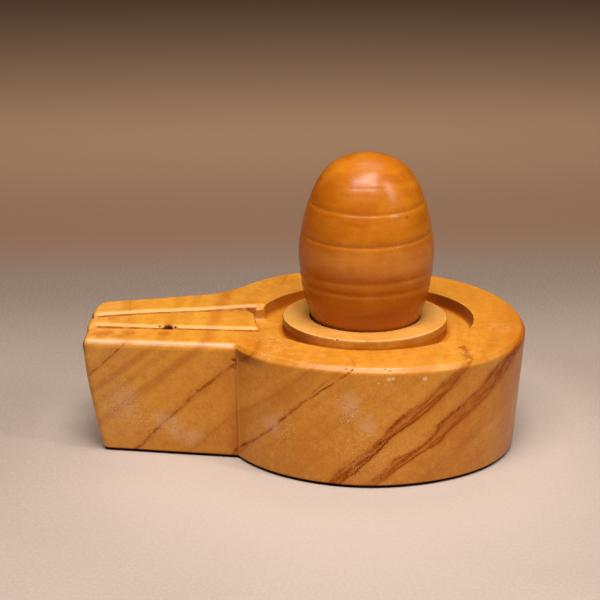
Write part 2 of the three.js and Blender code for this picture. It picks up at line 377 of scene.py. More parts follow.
def make_base():
    axes = [
        grid_lines((*BASE_GRID_X, BASE_PITCH)),
        grid_lines((*BASE_GRID_Y, BASE_PITCH)),
        grid_lines(*BASE_LEVELS),
    ]
    x, y, z = np.meshgrid(*axes, indexing="ij", sparse=True)
    points, quads = surface_net(base_distance(x, y, z), axes)
    # The points move onto the surface itself, and the lowest ones onto the resting plane.
    for _ in range(MOVES):
        slope = gradient(points)
        move = base_distance(*points.T) / np.maximum((slope**2).sum(1), LEAST_SLOPE**2)
        points -= slope * np.clip(move, -LONGEST_MOVE, LONGEST_MOVE)[:, None]
    points[np.abs(points[:, 2]) < ON_RESTING_PLANE, 2] = 0
    normals = gradient(points)
    normals /= np.linalg.norm(normals, axis=1)[:, None]
    stone = mesh_object("stone_base", points, quads, normals)
    for name, amount in (("groove", in_groove), ("crease", crease_shade_mask), ("crease_edge_highlight", crease_edge_highlight)):
        stone.data.attributes.new(name, "FLOAT", "POINT").data.foreach_set("value", amount(*points.T))
    return stone


base = make_base()


# ---- the lingam ----
profile_heights, profile_radii = np.array(LINGAM_PROFILE).T
# Squared and divided by the distance to the pole, the radius has no steep end, so a polynomial fits it.
PROFILE_FIT = np.polyfit(
    profile_heights[:-1], profile_radii[:-1] ** 2 / (LINGAM_HEIGHT - profile_heights[:-1]), 6
)


def lingam_radius(height):
    left = np.maximum(LINGAM_HEIGHT - height, 0)
    return np.sqrt(np.maximum(np.polyval(PROFILE_FIT, height) * left, 0))


def make_lingam():
    # Rows at even steps along the outline, tilted like the turned lines above and below them.
    fine = np.linspace(LINGAM_FOOT, LINGAM_HEIGHT, 4000)
    length = np.concatenate([[0], np.cumsum(np.hypot(np.diff(fine), np.diff(lingam_radius(fine))))])
    rows = np.interp(np.linspace(0, length[-1], round(length[-1] / LINGAM_ROW)), length, fine)[:-1]
    angles = np.linspace(0, 2 * math.pi, LINGAM_COLUMNS, endpoint=False)
    row, angle = np.meshgrid(rows, angles, indexing="ij")

    ring_heights, slope_x, slope_y, ring_depths, ring_tops, ring_bottoms = np.array(RINGS).T
    held_level = np.concatenate([[LINGAM_FOOT], ring_heights, [LINGAM_HEIGHT]])
    tilt_x = np.interp(row, held_level, np.concatenate([[0], slope_x, [0]]))
    tilt_y = np.interp(row, held_level, np.concatenate([[0], slope_y, [0]]))
    height = row + lingam_radius(row) * (tilt_x * np.cos(angle) + tilt_y * np.sin(angle))
    radius = lingam_radius(height)
    for level, depth, reach_up, reach_down in zip(ring_heights, ring_depths, ring_tops, ring_bottoms):
        away = (row - level) / np.where(row > level, reach_up, reach_down)
        radius = radius - depth * np.exp(-RING_STEEPNESS * np.abs(away) ** 1.5)
    above_foot = np.clip(row - LINGAM_FOOT, 0, FOOT_ROUNDING)
    radius = radius - (FOOT_ROUNDING - np.sqrt(FOOT_ROUNDING**2 - (FOOT_ROUNDING - above_foot) ** 2))

    side = np.stack([radius * np.cos(angle), radius * np.sin(angle), height], -1).reshape(-1, 3)
    points = np.concatenate([side, [[0, 0, LINGAM_HEIGHT], [0, 0, LINGAM_FOOT]]])
    points += (*LINGAM_AXIS, TOP)
    n = LINGAM_COLUMNS
    near = np.arange(n)
    far = (near + 1) % n
    last = len(side) - n
    faces = [
        quad
        for start in range(0, last, n)
        for quad in np.stack([start + near, start + far, start + n + far, start + n + near], 1)
    ]
    faces += list(np.stack([last + near, last + far, np.full(n, len(side))], 1))
    faces += list(np.stack([far, near, np.full(n, len(side) + 1)], 1))
    return mesh_object("lingam_stone", points, faces)


lingam = make_lingam()


# ---- materials ----
class Shader:
    """Builds one node material, in millimetres."""

    def __init__(self, name):
        self.material = bpy.data.materials.new(name)
        self.material.use_nodes = True
        self.tree = self.material.node_tree
        self.surface = self.tree.nodes["Principled BSDF"]
        place = self.tree.nodes.new("ShaderNodeTexCoord").outputs["Object"]
        self.place = self.vector("SCALE", place, scale=1 / MM)
        self.x, self.y, self.z = self.split(self.place)

    def put(self, socket, value):
        if isinstance(value, bpy.types.NodeSocket):
            self.tree.links.new(value, socket)
        elif socket.type == "RGBA":
            socket.default_value = (*value, 1)
        else:
            socket.default_value = value

    def split(self, vector):
        node = self.tree.nodes.new("ShaderNodeSeparateXYZ")
        self.put(node.inputs[0], vector)
        return tuple(node.outputs)

    def combine(self, x, y, z):
        node = self.tree.nodes.new("ShaderNodeCombineXYZ")
        for socket, value in zip(node.inputs, (x, y, z)):
            self.put(socket, value)
        return node.outputs[0]

    def math(self, operation, *values, clamp=False):
        node = self.tree.nodes.new("ShaderNodeMath")
        node.operation, node.use_clamp = operation, clamp
        for socket, value in zip(node.inputs, values):
            self.put(socket, value)
        return node.outputs[0]

    def vector(self, operation, *values, scale=None):
        node = self.tree.nodes.new("ShaderNodeVectorMath")
        node.operation = operation
        for socket, value in zip(node.inputs, values):
            self.put(socket, value)
        if scale is not None:
            self.put(node.inputs["Scale"], scale)
        return node.outputs["Value" if operation in ("DOT_PRODUCT", "DISTANCE") else "Vector"]

    def noise(self, vector, size, detail=2.0, roughness=0.5, colour=False):
        """Noise whose blobs are about this many millimetres across."""
        node = self.tree.nodes.new("ShaderNodeTexNoise")
        self.put(node.inputs["Vector"], vector)
        node.inputs["Scale"].default_value = 1 / size
        node.inputs["Detail"].default_value = detail
        node.inputs["Roughness"].default_value = roughness
        return node.outputs["Color" if colour else "Fac"]

    def map(self, value, low, high, to_low=0.0, to_high=1.0):
        node = self.tree.nodes.new("ShaderNodeMapRange")
        node.interpolation_type = "SMOOTHSTEP"
        for socket, given in zip(node.inputs, (value, low, high, to_low, to_high)):
            self.put(socket, given)
        return node.outputs[0]

    def mix(self, share, first, second):
        node = self.tree.nodes.new("ShaderNodeMix")
        node.data_type = "RGBA"
        for socket, value in zip((node.inputs[0], node.inputs[6], node.inputs[7]), (share, first, second)):
            self.put(socket, value)
        return node.outputs[2]

    def add(self, *values):
        total = values[0]
        for value in values[1:]:
            total = self.math("ADD", total, value)
        return total

    def times(self, *values):
        total = values[0]
        for value in values[1:]:
            total = self.math("MULTIPLY", total, value)
        return total

    def largest(self, *values):
        total = values[0]
        for value in values[1:]:
            total = self.math("MAXIMUM", total, value)
        return total

    def warped(self, *layers):
        """The place, pushed about by noise layers (size, reach) in millimetres."""
        place = self.place
        for size, reach in layers:
            push = self.vector("SUBTRACT", self.noise(self.place, size, colour=True), (0.5, 0.5, 0.5))
            place = self.vector("ADD", place, self.vector("SCALE", push, scale=2 * reach))
        return place

    def spots(self, spots, place, full=0.45):
        """1 within that share of any spot's radius, fading to 0 at its edge; spots are (centre, radius)."""
        nearest = None
        for centre, radius in spots:
            away = self.math("DIVIDE", self.vector("DISTANCE", place, centre), radius)
            nearest = away if nearest is None else self.math("MINIMUM", nearest, away)
        return self.map(nearest, 1.0, full)

    def track(self, value, stations):
        """A value that runs straight from one station (value, result) to the next."""
        (first, _), (last, _) = stations[0], stations[-1]
        results = [result for _, result in stations]
        lowest, span = min(results), max(results) - min(results)
        node = self.tree.nodes.new("ShaderNodeFloatCurve")
        points = node.mapping.curves[0].points
        for _ in stations[2:]:
            points.new(0.5, 0.5)
        for point, (station, result) in zip(points, stations):
            point.location = ((station - first) / (last - first), (result - lowest) / span)
            point.handle_type = "VECTOR"
        node.mapping.update()
        share = self.math("DIVIDE", self.math("SUBTRACT", value, first), last - first, clamp=True)
        self.put(node.inputs["Value"], share)
        return self.add(self.times(node.outputs[0], span), lowest)

    def normal(self):
        return self.tree.nodes.new("ShaderNodeNewGeometry").outputs["Normal"]

    def attribute(self, name):
        node = self.tree.nodes.new("ShaderNodeAttribute")
        node.attribute_name = name
        return node.outputs["Fac"]

    def bump(self, height, strength, distance, normal=None):
        node = self.tree.nodes.new("ShaderNodeBump")
        node.inputs["Strength"].default_value = strength
        node.inputs["Distance"].default_value = distance * MM
        self.put(node.inputs["Height"], height)
        if normal is not None:
            self.put(node.inputs["Normal"], normal)
        return node.outputs[0]


# Veins of the base are thin sheets through the stone. Each is where x, y and z times the
# first three numbers, less the bend times exp(-z / BEND_HEIGHT), come to the offset.
BEND_HEIGHT = 6
FINE_VEINS = [
    # direction, offset, bend, half-width, strength, and how far it is shifted at each height
    ((0.64, 0.039, -0.637), -23.80, 1.96, 0.20, 0.72,
     [(0, 0.4), (6.9, 0.26), (10.4, 0.1), (13.2, -0.2), (17.5, -0.55), (19.4, -0.55), (22.5, -0.25),
      (26, 0.35), (27.6, 0.5)]),
    ((0.64, -0.126, -0.713), -34.46, 1.20, 0.30, 0.60,
     [(0, -0.3), (1.2, -0.15), (2.6, 0.3), (5.6, -0.05), (8.6, 0.03), (12, 0), (14.8, -0.27), (20, -0.06),
      (22, 0.25), (27.6, 0.4)]),
    ((0.64, 0.0, -0.654), -53.23, 0.0, 0.17, 0.5, None),
    ((0.64, 0.0, -0.649), -27.34, 0.0, 0.35, 0.18, None),
    ((0.64, -0.36, -0.77), -14.2, 0.0, 0.25, 0.30, None),
]
BROAD_VEINS = [
    # direction, offset, bend, half-width and strength
    ((0.64, -0.126, -0.713), -34.46, 1.20, 1.0, 0.26),
    ((0.64, -0.10, -0.783), -43.95, 0.0, 1.0, 0.42),
    ((0.64, -0.10, -0.773), -47.8, 0.0, 0.7, 0.25),
    ((0.64, -0.10, -0.814), -51.5, 0.0, 0.8, 0.36),
    ((0.64, -0.15, -0.77), -58.6, 0.0, 0.8, 0.40),
    ((0.64, 0.0, -0.69), -54.2, 0.0, 1.1, 0.28),
    ((0.64, 0.0, -0.649), -27.34, 0.0, 1.2, 0.06),
    ((0.64, 0.0, -0.717), 5.66, 0.0, 1.3, 0.20),
    ((0.64, 0.04, -0.637), -25.6, 1.96, 1.3, 0.10),
    ((0.64, -0.26, -0.77), 0.9, 0.0, 0.9, 0.30),
    ((0.97, -0.24, 0.0), 35.0, 0.0, 2.6, 0.40),
]
# The two great veins are bands between an upper and a lower edge, each (height, distance from the
# sheet). The strengths of their edges, their fill and the rust round them are (height, strength).
GREAT_VEIN = {
    "direction": (0.64, 0.014, -0.763), "offset": -9.33, "bend": 1.30,
    "upper": [(0, -0.3), (1.8, -0.45), (3.2, -1.0), (5, -0.85), (7.8, -0.8), (8.8, -0.45), (10.5, -0.8),
              (11.7, -0.75), (13, -1.2), (15.8, -1.8), (18.4, -1.85), (19.4, -1.4), (22.7, -1.35),
              (24.1, -1.6), (25.5, -1.2), (27.6, -0.9)],
    "lower": [(0, 0.7), (2.8, 0.8), (3.5, 1.25), (4.8, 0.95), (6.5, 0.95), (8.6, 0.8), (10.8, 0.3),
              (12.1, -0.1), (13.4, 0.3), (14.9, 0.5), (16.6, 0.8), (20, 0.85), (23.3, 0.5), (24.9, 0.0),
              (27.6, 0.1)],
    "upper_strength": [(0, 0.7), (8, 0.6), (12.5, 0.6), (14, 0.9), (16.5, 0.85), (18, 0.6), (27.6, 0.5)],
    "lower_strength": [(0, 0.75), (6, 0.8), (9, 1.0), (14, 1.0), (17, 0.75), (23, 0.6), (27.6, 0.5)],
    "fill": [(0, 0.75), (5, 0.8), (8, 1.0), (11.5, 1.0), (13.5, 0.6), (17, 0.65), (22, 0.55), (26, 0.5),
             (27.6, 0.85)],
    "rust": [(0, 0.7), (10, 0.75), (14, 0.9), (22, 0.75), (27.6, 0.5)],
}
RIGHT_VEIN = {
    "direction": (0.64, -0.199, -0.843), "offset": 5.43, "bend": -1.34,
    "upper": [(0, -0.2), (2.5, -0.6), (4.8, -1.1), (6.9, -2.2), (8.1, -1.1), (9.7, -0.6), (11.7, -1.05),
              (13, -1.7), (14, -2.5), (16.5, -2.65), (18.4, -2.7), (21, -2.75), (22.4, -3.4), (24.7, -4.0),
              (26, -3.6)],
    "lower": [(0, 1.0), (1.8, 1.1), (4.3, 0.35), (7.5, 0.35), (9.7, 1.25), (11.2, 0.65), (12.4, 0.2),
              (15, 0.25), (18.5, -0.1), (20.3, -0.5), (21.9, -1.0), (24.1, -2.0), (26, -2.3)],
    "upper_strength": [(0, 0.4), (5, 0.55), (8, 0.7), (12.5, 0.7), (14, 0.8), (19, 0.75), (21, 0.6),
                       (26, 0.7)],
    "lower_strength": [(0, 0.45), (5, 0.7), (8, 0.8), (11, 0.6), (13, 0.6), (16, 0.45), (21, 0.45),
                       (26, 0.6)],
    "fill": [(0, 0.45), (4, 0.6), (7.5, 0.7), (11, 0.45), (14.5, 0.25), (18, 0.3), (20.5, 0.6), (23, 0.75),
             (26, 0.75)],
    "rust": [(0, 0.6), (5, 0.9), (11, 0.95), (14.5, 0.85), (18, 0.85), (21, 0.9), (26, 0.9)],
}
# Spots: centre and radius.
DARK_SPOTS = [
    ((-46.0, -4.5, 26.9), 1.75), ((-47.9, -3.7, 27.3), 0.45), ((-44.3, -4.5, 27.2), 0.45),
    ((-36.2, -5.3, 27.4), 0.2), ((-27.4, -7.6, 27.0), 0.22), ((-8.7, -17.2, 27.5), 0.6),
    ((-8.6, -35.5, 27.1), 0.3), ((-7.4, -35.9, 27.0), 0.3), ((-0.5, -36.8, 27.3), 0.2),
    ((0.5, -37.2, 27.0), 0.2), ((31.3, -19.9, 6.7), 0.3),
]
BROWN_SPOTS = [
    ((-31.6, -18.8, 23.7), 0.55), ((-31.5, -18.8, 22.1), 0.4), ((-29.8, -21.5, 24.5), 0.45),
    ((-28.7, -23.0, 25.3), 0.35),
]
PALE_SPOTS = [
    ((0.2, -37.6, 25.3), 0.55), ((1.1, -37.7, 25.4), 0.5), ((8.0, -37.4, 25.1), 0.6),
    ((-2.0, -37.4, 24.4), 0.27), ((-7.3, -36.3, 16.7), 0.27), ((-9.2, -35.8, 16.1), 0.2),
    ((-9.4, -35.7, 15.2), 0.2), ((15.8, -34.9, 18.6), 0.2),
]
CLOUDY_SPOTS = [
    ((-44.5, -15.1, 6.6), 3.6), ((-41.0, -15.7, 4.4), 3.2), ((-56.5, -12.8, 12.5), 5.5),
    ((-47.0, -14.0, 8.5), 4.0), ((-8.0, -36.3, 19.0), 4.0), ((-4.0, -36.8, 15.0), 3.5),
    ((-24.1, -27.8, 12.3), 4.0),
]
STAINS = [
    ((-62.0, -9.2, 27.6), 2.0), ((-59.5, -8.9, 27.6), 2.2), ((-57.2, -10.8, 27.6), 1.8),
    ((-54.8, -9.1, 27.6), 1.9), ((-46.9, -9.9, 27.6), 2.0), ((-59.0, 2.0, 27.6), 1.3),
]
SUGARY_SPOTS = [
    ((-57.2, -12.6, 13.0), 7.5), ((-50.2, -13.6, 8.0), 5.5), ((-43.9, -15.3, 6.2), 4.5),
    ((-58.5, -12.6, 17.0), 4.0), ((-8.0, -35.9, 17.4), 6.0), ((-25.2, -25.5, 27.0), 3.2),
    ((-23.4, -15.0, 27.6), 5.0), ((-22.5, -20.5, 27.6), 4.0), ((18.5, -28.5, 27.6), 3.6),
    ((30.0, -12.0, 27.6), 5.0), ((-5.0, -37.0, 8.0), 8.0), ((-22.0, -30.0, 12.0), 5.0),
]


# ---- the materials' numbers ----
BASE_IOR, BASE_SPECULAR = 1.53, 0.30
LINGAM_IOR, LINGAM_SPECULAR = 1.52, 0.26
BELT_HEIGHT = TOP + 16.5  # of a paler belt on the lingam
LINGAM_MARKS = [((7.6, -11.9, 54.0), 0.75)]

# Colours, in linear light: the base's,
HONEY, DEEP_HONEY = (0.625, 0.240, 0.0200), (0.545, 0.180, 0.0100)
PALE_CLOUD, DEEP_CLOUD = (0.660, 0.262, 0.0300), (0.520, 0.158, 0.0070)
SPOUT_HONEY, SPOUT_END_HONEY = (0.74, 0.325, 0.026), (0.72, 0.36, 0.100)
LOW_HONEY = (0.42, 0.125, 0.0050)
PALE_MOTTLE, DEEP_MOTTLE = (0.70, 0.32, 0.075), (0.44, 0.120, 0.0050)
PALE_GRAIN, DEEP_GRAIN = (0.74, 0.34, 0.07), (0.36, 0.09, 0.004)
BROAD_VEIN_RED = (0.40, 0.088, 0.0010)
RUST, DARK_VEIN = (0.40, 0.082, 0.0010), (0.190, 0.019, 0.0003)
STAIN_RED = (0.42, 0.090, 0.0020)
CLOUDY_PINK = (0.68, 0.38, 0.21)
PALE_SUGAR, DARK_SUGAR = (0.80, 0.48, 0.22), (0.22, 0.05, 0.004)
GLINT, PALE_SPOT, BROWN_SPOT = (0.80, 0.45, 0.17), (0.80, 0.44, 0.22), (0.15, 0.025, 0.002)
SPOUT_CHAMFER_HIGHLIGHT, CREASE_EDGE_HIGHLIGHT = (0.75, 0.45, 0.31), (0.78, 0.42, 0.15)
PEDESTAL_TOP_SHEEN, PEDESTAL_LIP_HIGHLIGHT = (0.72, 0.36, 0.09), (0.90, 0.56, 0.26)
REDDISH_TOP, CHANNEL_WALL_SHADE = (0.49, 0.150, 0.0080), (0.56, 0.115, 0.0010)
DARK_END = (0.16, 0.028, 0.0010)
GROOVE_WALL_HIGHLIGHT, GROOVE_SHADE = (0.80, 0.43, 0.17), (0.25, 0.047, 0.0010)
CREASE_SHADE, PEDESTAL_FOOT_SHADE = (0.33, 0.055, 0.0010), (0.30, 0.055, 0.0010)
HOLE, CONTACT_SHADOW = (0.060, 0.006, 0.002), (0.020, 0.001, 0.0005)
# the lingam's,
AMBER, DEEP_AMBER = (0.475, 0.136, 0.0050), (0.385, 0.092, 0.0026)
AMBER_CLOUD, AMBER_BELT = (0.53, 0.170, 0.0110), (0.62, 0.225, 0.0300)
PAINTED_SIDE_SHADE, AMBER_FLECK = (0.30, 0.055, 0.0010), (0.25, 0.045, 0.0015)
AMBER_MARK = (0.16, 0.03, 0.003)
# and the floor's.
PALE_FLOOR, DEEP_FLOOR = (0.400, 0.305, 0.244), (0.370, 0.280, 0.222)
FRONT_FLOOR, FLOOR_LIGHT_POOL = (0.300, 0.218, 0.166), (0.475, 0.368, 0.297)
FLOOR_BEHIND = (0.185, 0.126, 0.088)
FLOOR_FAR_BEHIND, FLOOR_FARTHEST = (0.24, 0.125, 0.068), (0.50, 0.28, 0.156)
FLOOR_SPECKLE = (0.62, 0.50, 0.42)


def make_base_stone():
    s = Shader("honey_stone")
    # The fine and the great veins have ragged edges; the rest of the pattern is smoother.
    place = s.warped((9.0, 0.4), (1.3, 0.16))
    ragged = s.warped((5.0, 0.15), (1.3, 0.25), (0.5, 0.30))
    x, y, z = s.split(place)
    low = s.math("EXPONENT", s.times(s.z, -1 / BEND_HEIGHT))

    # The bedding: long faint bands that follow the veins.
    across = s.vector("DOT_PRODUCT", place, (0.64, -0.1, -0.77))
    along = s.vector("DOT_PRODUCT", place, (0.77, 0.0, 0.64))
    beds = s.noise(s.combine(across, s.times(y, 0.12), s.times(along, 0.05)), 3.0, 4.0, 0.6)
    clouds = s.noise(s.place, 11.0, 3.0, 0.55)
    grain = s.noise(s.place, 0.5, 3.0, 0.7)
    # Honey, paler and deeper in places, warmer on the spout, darker low down.
    colour = s.mix(s.map(beds, 0.34, 0.70), HONEY, DEEP_HONEY)
    colour = s.mix(s.times(s.map(clouds, 0.47, 0.70), 0.6), colour, PALE_CLOUD)
    colour = s.mix(s.times(s.map(clouds, 0.47, 0.30), 0.5), colour, DEEP_CLOUD)
    colour = s.mix(s.map(s.x, -24, -40, 0.0, 0.30), colour, SPOUT_HONEY)
    colour = s.mix(s.map(s.z, 10, 1, 0.0, 0.38), colour, LOW_HONEY)
    colour = s.mix(s.map(s.x, -47, -60, 0.0, 0.25), colour, SPOUT_END_HONEY)
    mottle = s.noise(s.place, 1.8, 4.0, 0.7)
    colour = s.mix(s.times(s.map(mottle, 0.50, 0.68), 0.30), colour, PALE_MOTTLE)
    colour = s.mix(s.times(s.map(mottle, 0.50, 0.34), 0.28), colour, DEEP_MOTTLE)
    colour = s.mix(s.times(s.map(grain, 0.46, 0.74), 0.34), colour, DEEP_GRAIN)
    colour = s.mix(s.times(s.map(grain, 0.46, 0.28), 0.22), colour, PALE_GRAIN)

    def off_sheet(direction, offset, bend, where):
        off = s.math("SUBTRACT", s.vector("DOT_PRODUCT", where, direction), offset)
        return s.math("SUBTRACT", off, s.times(low, bend)) if bend else off

    def streak(off, half_width):
        return s.map(s.math("ABSOLUTE", off), s.times(half_width, 1.7), s.times(half_width, 0.3))

    radius = s.math("SQRT", s.add(s.times(s.x, s.x), s.times(s.y, s.y)))
    inner = s.times(s.map(radius, 31.0, 29.5), s.map(s.z, CHANNEL_FLOOR - 1.1, CHANNEL_FLOOR - 0.5))
    patchy = s.map(s.noise(s.place, 2.4, 4.0, 0.65), 0.36, 0.58, 0.22, 1.0)
    crumbly = s.map(s.noise(s.place, 0.55, 2.0, 0.75), 0.40, 0.60)
    streaks = s.noise(s.combine(across, s.times(y, 0.3), s.times(along, 0.12)), 0.8, 3.0, 0.7)
    streaky = s.map(streaks, 0.38, 0.60)
    on_top = s.map(s.z, TOP - 1.2, TOP - 0.4)
    # The veins' edges are fine lines on the wall, and only crumbs on the top.
    broken = s.map(s.math("SUBTRACT", s.times(on_top, 1.4), crumbly), 0.0, 1.0, 1.0, 0.15)
    broad = s.largest(*(
        s.times(streak(off_sheet(direction, offset, bend, place), width), strength)
        for direction, offset, bend, width, strength in BROAD_VEINS
    ))
    colour = s.mix(s.times(broad, s.map(beds, 0.25, 0.6, 0.65, 1.0)), colour, BROAD_VEIN_RED)
    lines = []
    for direction, offset, bend, width, strength, shifts in FINE_VEINS:
        off = off_sheet(direction, offset, bend, ragged)
        if shifts:
            off = s.math("SUBTRACT", off, s.track(z, shifts))
        lines.append(s.times(streak(off, width), strength))
    fine = s.largest(*lines)
    fine = s.times(fine, patchy, s.map(on_top, 0, 1, 1.0, 0.35))

    def great(vein):
        off = off_sheet(vein["direction"], vein["offset"], vein["bend"], ragged)
        above_upper = s.math("SUBTRACT", off, s.track(z, vein["upper"]))
        below_lower = s.math("SUBTRACT", s.track(z, vein["lower"]), off)
        upper = s.times(streak(above_upper, 0.28), s.track(z, vein["upper_strength"]), patchy, broken)
        lower = s.times(streak(below_lower, 0.22), s.track(z, vein["lower_strength"]), broken)
        between = s.times(s.map(above_upper, -0.4, 0.45), s.map(below_lower, -0.3, 0.35))
        fill = s.times(between, s.track(z, vein["fill"]), s.map(crumbly, 0, 1, 0.5, 1.0))
        fill = s.times(fill, s.map(streaky, 0, 1, 0.25, 1.0))
        halo = s.times(s.map(above_upper, -1.3, 0.4), s.map(below_lower, -1.2, 0.2), s.track(z, vein["rust"]))
        return s.largest(upper, lower, fill), s.times(halo, s.map(streaky, 0, 1, 0.55, 1.0))

    outer = s.map(inner, 0, 1, 1.0, 0.1)
    veins = [great(GREAT_VEIN), great(RIGHT_VEIN)]
    rusty = s.times(s.largest(fine, *(halo for _, halo in veins)), outer)
    colour = s.mix(s.times(rusty, 0.75), colour, RUST)
    vein = s.times(s.largest(fine, *(dark for dark, _ in veins)), outer)
    colour = s.mix(s.times(vein, 0.9), colour, DARK_VEIN)

    stain = s.times(s.spots(STAINS, s.warped((2.0, 0.9), (0.7, 0.5)), 0.4), s.map(crumbly, 0, 1, 0.55, 1.0))
    colour = s.mix(s.times(stain, 0.7), colour, STAIN_RED)

    # Cloudy places under the polish, and sugary ones where it didn't take.
    cloudy = s.spots(CLOUDY_SPOTS, s.warped((4.0, 2.6), (1.2, 0.8)), 0.1)
    cloudy = s.times(cloudy, s.map(grain, 0.35, 0.6, 0.5, 1.0))
    colour = s.mix(s.times(cloudy, 0.45), colour, CLOUDY_PINK)
    sugary = s.spots(SUGARY_SPOTS, s.warped((3.0, 2.0)), 0.3)
    sugary = s.times(sugary, s.map(s.noise(s.place, 1.1, 3.0, 0.7), 0.40, 0.58))
    sparkle = s.noise(s.place, 0.30, 1.0, 0.6)
    colour = s.mix(s.times(sugary, s.map(sparkle, 0.52, 0.68), 0.5), colour, PALE_SUGAR)
    colour = s.mix(s.times(sugary, s.map(sparkle, 0.46, 0.32), 0.5), colour, DARK_SUGAR)
    glints = s.times(s.map(sparkle, 0.69, 0.76), s.map(clouds, 0.42, 0.55), 0.7)
    colour = s.mix(glints, colour, GLINT)
    colour = s.mix(s.times(s.spots(PALE_SPOTS, s.warped((0.6, 0.25))), 0.85), colour, PALE_SPOT)

    # Painted highlight: the spout's chamfer along its front is painted paler, in patches.
    slant = s.math("ABSOLUTE", s.math("SUBTRACT", s.split(s.normal())[2], CHAMFER_NORMAL_Z))
    beyond = s.vector("DOT_PRODUCT", s.place, (-SPOUT_FRONT_SLOPE, 1, 0))
    inner_line = SPOUT_FRONT_Y - SPOUT_FRONT_SLOPE * SPOUT_END_X + 1.3
    edge = s.times(s.map(slant, 0.36, 0.18), s.map(beyond, inner_line + 0.3, inner_line))
    highlight_patches = s.map(s.noise(s.place, 2.5, 3.0, 0.6), 0.35, 0.6, 0.14, 0.42)
    edge = s.times(edge, s.map(s.x, -30.5, -32.5), highlight_patches)
    colour = s.mix(edge, colour, SPOUT_CHAMFER_HIGHLIGHT)
    # Painted sheen on the pedestal's top and a painted highlight along its front lip; the drum's top is
    # redder on the right.
    near_top = s.map(s.z, TOP - 0.7, TOP - 0.3)
    pedestal = s.times(s.map(radius, PEDESTAL_RADIUS + 0.35, PEDESTAL_RADIUS - 0.25), near_top)
    colour = s.mix(s.times(pedestal, s.map(clouds, 0.35, 0.6, 0.32, 0.55)), colour, PEDESTAL_TOP_SHEEN)
    # Painted highlight along the pedestal's front lip.
    lip = s.times(
        s.map(radius, PEDESTAL_RADIUS - 0.85, PEDESTAL_RADIUS - 0.45),
        s.map(radius, PEDESTAL_RADIUS + 0.25, PEDESTAL_RADIUS - 0.05),
        near_top, s.map(s.y, -8, -16), patchy,
    )
    colour = s.mix(s.times(lip, 0.3), colour, PEDESTAL_LIP_HIGHLIGHT)
    reddish = s.times(s.map(s.x, 20, 33), s.map(radius, CHANNEL_RADIUS + 0.5, CHANNEL_RADIUS + 1.5), on_top)
    reddish = s.times(reddish, s.map(clouds, 0.35, 0.6, 0.35, 0.6))
    colour = s.mix(reddish, colour, REDDISH_TOP)
    # Painted shade: the channel's outer wall, in shade inside the recess, is painted redder and darker,
    # except at its mouth.
    channel_wall_shade = s.times(
        s.map(radius, CHANNEL_RADIUS - 1, CHANNEL_RADIUS - 0.3), s.map(radius, 30.0, 29.0),
        s.map(s.z, TOP - 0.15, TOP - 0.5), s.map(s.z, CHANNEL_FLOOR + 0.1, CHANNEL_FLOOR + 0.8),
        s.map(s.x, -21.0, -18.5),
    )
    colour = s.mix(s.times(channel_wall_shade, 0.6), colour, CHANNEL_WALL_SHADE)
    # The top of the spout's end is dark, and a painted highlight lies on the drum's narrow edge beside the
    # crease.
    facing_x = s.split(s.normal())[0]
    end_rim = s.times(s.map(facing_x, -0.6, -0.85), s.map(s.z, TOP - 4.1, TOP - 2.1))
    colour = s.mix(s.times(end_rim, 0.75), colour, DARK_END)
    colour = s.mix(s.times(s.attribute("crease_edge_highlight"), 0.35), colour, CREASE_EDGE_HIGHLIGHT)

    # Painted highlight on the grooves' walls; painted shade deep in the grooves, in the crease and at the
    # foot of the pedestal; a painted shadow along the bottom edge.
    groove_mask = s.attribute("groove")
    groove_wall_highlight = s.times(groove_mask, s.map(s.z, TOP - 0.02, TOP - 0.2, 0.0, 0.45))
    colour = s.mix(groove_wall_highlight, colour, GROOVE_WALL_HIGHLIGHT)
    # Painted shade deep in the grooves.
    groove = s.times(groove_mask, s.map(s.z, TOP - 0.46, TOP - 0.62), s.map(patchy, 0.2, 1.0, 0.7, 1.0))
    groove_shade = s.times(groove, s.map(s.z, TOP - 0.75, TOP - 1.3, 0.9, 0.65))
    colour = s.mix(groove_shade, colour, GROOVE_SHADE)
    # Painted shade in the crease.
    crease = s.times(s.attribute("crease"), s.map(s.z, 20, 6, 0.25, 0.6))
    colour = s.mix(crease, colour, CREASE_SHADE)
    pedestal_foot_shade = s.times(
        s.map(s.z, TOP - 1.3, TOP - 2.0),
        s.map(radius, PEDESTAL_RADIUS + 1.35, PEDESTAL_RADIUS + 0.65),
        s.map(radius, PEDESTAL_RADIUS - 0.45, PEDESTAL_RADIUS - 0.25),
    )
    colour = s.mix(s.times(pedestal_foot_shade, 0.4), colour, PEDESTAL_FOOT_SHADE)
    shaded_places = s.largest(groove, crease, pedestal_foot_shade)
    colour = s.mix(s.times(s.spots(BROWN_SPOTS, s.warped((0.6, 0.25))), 0.7), colour, BROWN_SPOT)
    holes = s.spots(DARK_SPOTS, s.warped((0.6, 0.25)))
    colour = s.mix(s.times(holes, 0.9), colour, HOLE)
    foot = s.map(s.z, 0.95, 0.55)
    colour = s.mix(foot, colour, CONTACT_SHADOW)

    s.put(s.surface.inputs["Base Color"], colour)
    rough = s.add(0.26, s.times(s.noise(s.place, 5.0, 3.0), 0.16), s.times(vein, 0.15), s.times(sugary, 0.25))
    s.put(s.surface.inputs["Roughness"], s.add(rough, s.times(s.largest(shaded_places, foot), 0.4)))
    s.surface.inputs["IOR"].default_value = BASE_IOR
    dull = s.largest(vein, s.times(rusty, 0.7), shaded_places, foot, holes)
    # The number on the socket is what's left where the link is lost.
    s.surface.inputs["Specular IOR Level"].default_value = BASE_SPECULAR
    s.put(s.surface.inputs["Specular IOR Level"], s.map(dull, 0, 1, BASE_SPECULAR, 0.0))
    pits = s.times(s.noise(s.place, 0.35, 3.0, 0.7), s.add(0.15, sugary, vein))
    pits = s.math("SUBTRACT", pits, s.times(vein, 0.6))
    normal = s.bump(s.noise(s.place, 3.0, 2.0), 0.25, 0.12)
    normal = s.bump(pits, 0.5, 0.08, normal)
    s.put(s.surface.inputs["Normal"], normal)
    return s.material


